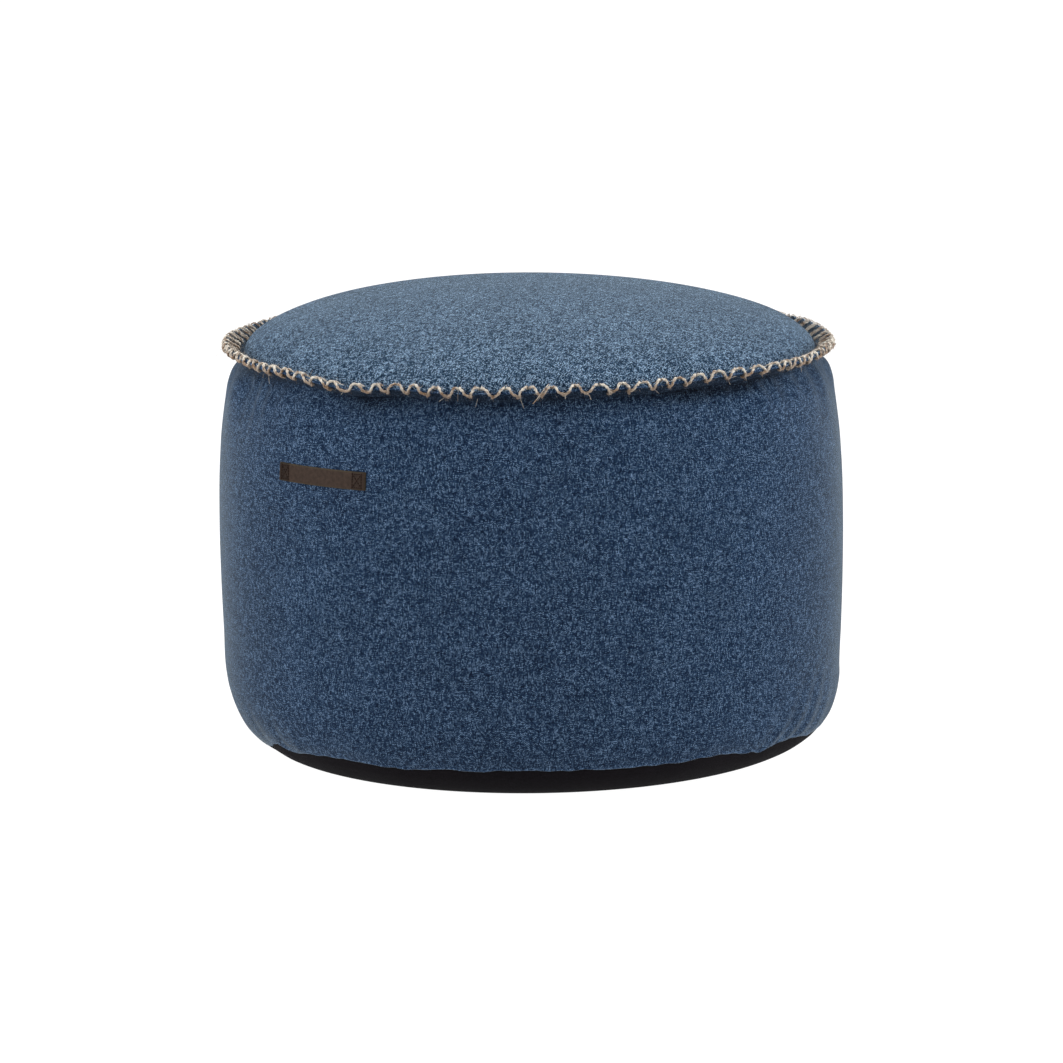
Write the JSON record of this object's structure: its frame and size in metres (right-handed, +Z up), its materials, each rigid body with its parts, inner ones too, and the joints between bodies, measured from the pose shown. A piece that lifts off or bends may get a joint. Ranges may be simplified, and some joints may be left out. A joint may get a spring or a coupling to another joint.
{
  "type": "bean bag footstool",
  "caption": "Round bean bag footstool: blue cloth drum with a domed top, black base panel and yarn-oversewn edge; a low seat or footrest.",
  "frame": {"origin": "centre of the base, on the floor", "axes": "+Z up; -Y is the front, with the leather label to the left of it"},
  "size_m": [0.601, 0.601, 0.4432],
  "materials": {
    "side_cloth": "melange blue woven upholstery cloth, matt",
    "top_cloth": "the same melange blue cloth, seen on the top",
    "base_cloth": "plain black hard-wearing cloth, matt",
    "yarn": "natural undyed twisted wool yarn, hairy",
    "leather": "dark brown grained leather"
  },
  "bodies": {
    "root": {"side_band": "side_cloth", "top_panel": "top_cloth", "base_panel": "base_cloth", "edge_yarn": "yarn", "label": "leather"}
  },
  "joints": []
}
